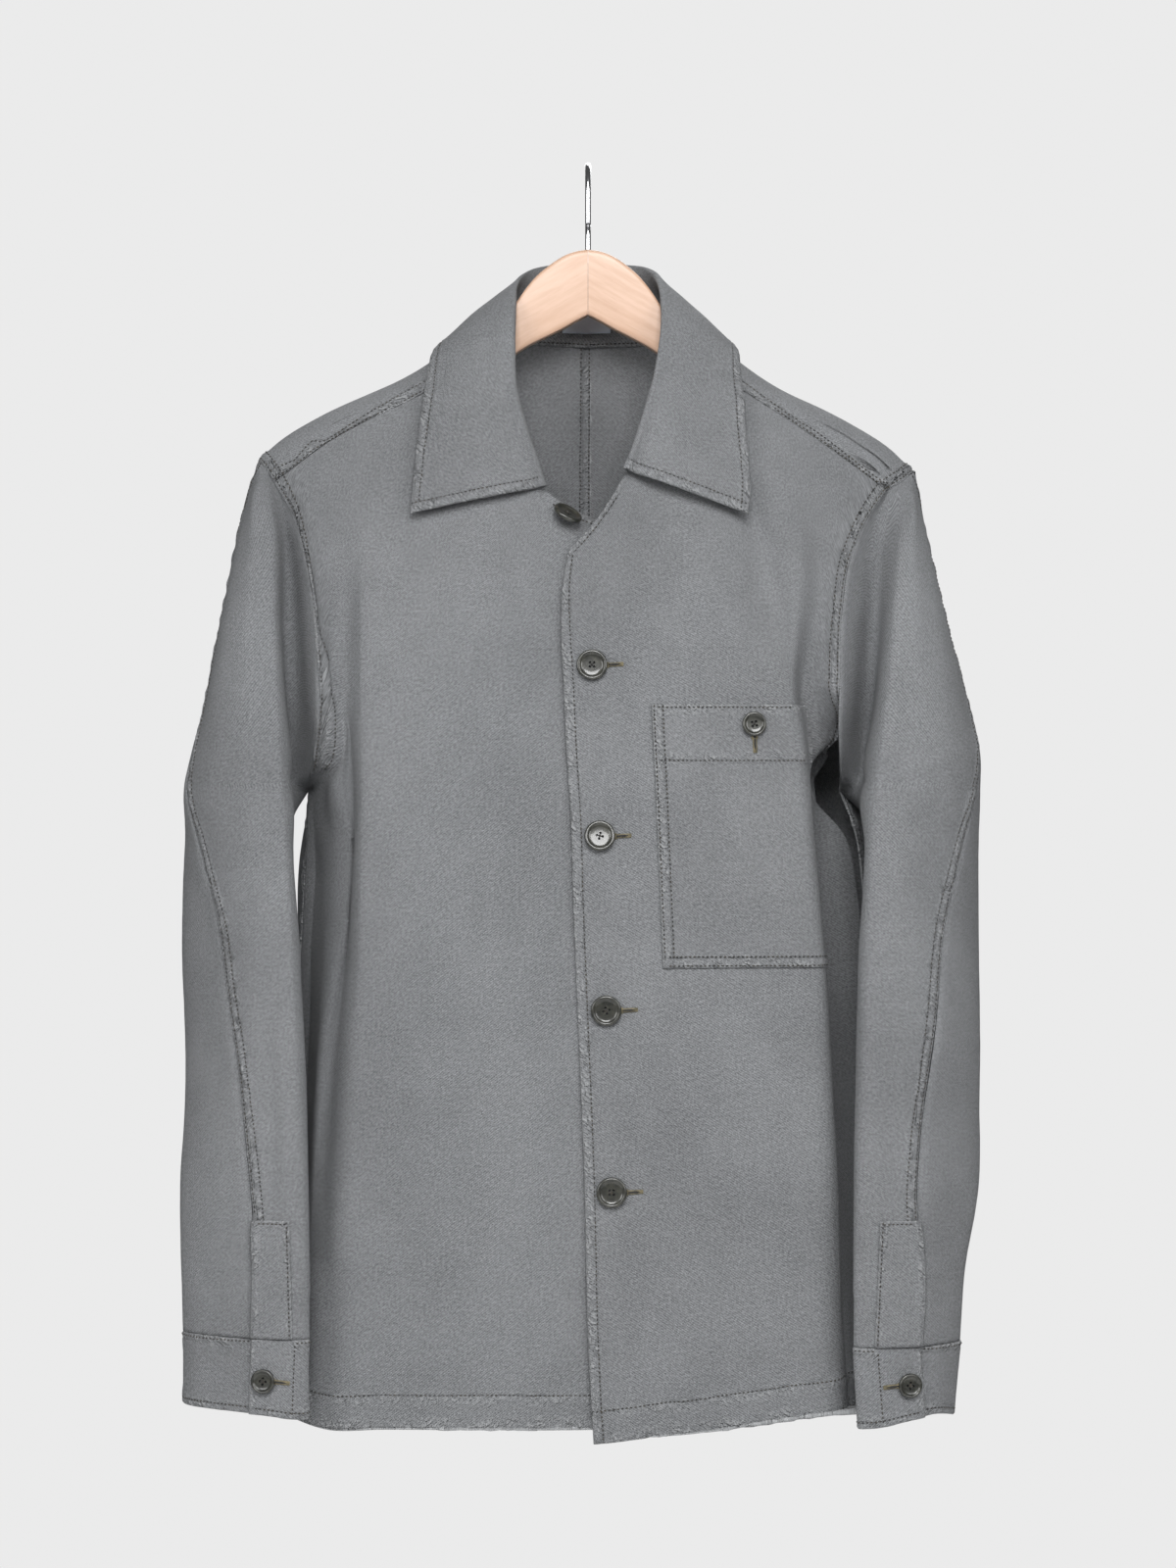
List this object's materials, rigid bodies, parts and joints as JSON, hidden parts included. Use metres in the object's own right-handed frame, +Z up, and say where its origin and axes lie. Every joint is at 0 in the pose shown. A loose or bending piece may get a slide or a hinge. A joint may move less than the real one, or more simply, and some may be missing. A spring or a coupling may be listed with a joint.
{
  "type": "overshirt on wooden hanger",
  "caption": "Button-front twill overshirt with a wide open collar, a patch pocket and cuffed sleeves, hanging on a light wooden hanger with a wire hook.",
  "frame": {"origin": "the inside of the hook's crown, where the hanger rests on a rail", "axes": "+Z up, -Y out of the garment's front, +X towards the viewer's right (the wearer's left)"},
  "size_m": [0.5338, 0.1801, 0.8528],
  "materials": {
    "twill": "matt cotton twill, washed, paler along the sewn edges",
    "label": "smooth woven tape, bare",
    "button": "satin horn-like button",
    "wood": "pale beech, satin varnish",
    "chrome": "bright chrome wire"
  },
  "bodies": {
    "root": {"back_left": "twill", "back_right": "twill", "collar": "twill", "cuff_left": "twill", "cuff_right": "twill", "front_left": "twill", "front_right": "twill", "neck_facing": "twill", "placket_left": "twill", "placket_right": "twill", "pocket": "twill", "sleeve_top_left": "twill", "sleeve_top_right": "twill", "sleeve_under_left": "twill", "sleeve_under_right": "twill", "neck_label": "label", "button_1": "button", "button_2": "button", "button_3": "button", "button_4": "button", "button_cuff_left": "button", "button_cuff_right": "button", "button_neck": "button", "button_pocket": "button", "hanger_arm_left": "wood", "hanger_arm_right": "wood", "hook": "chrome"}
  },
  "joints": []
}
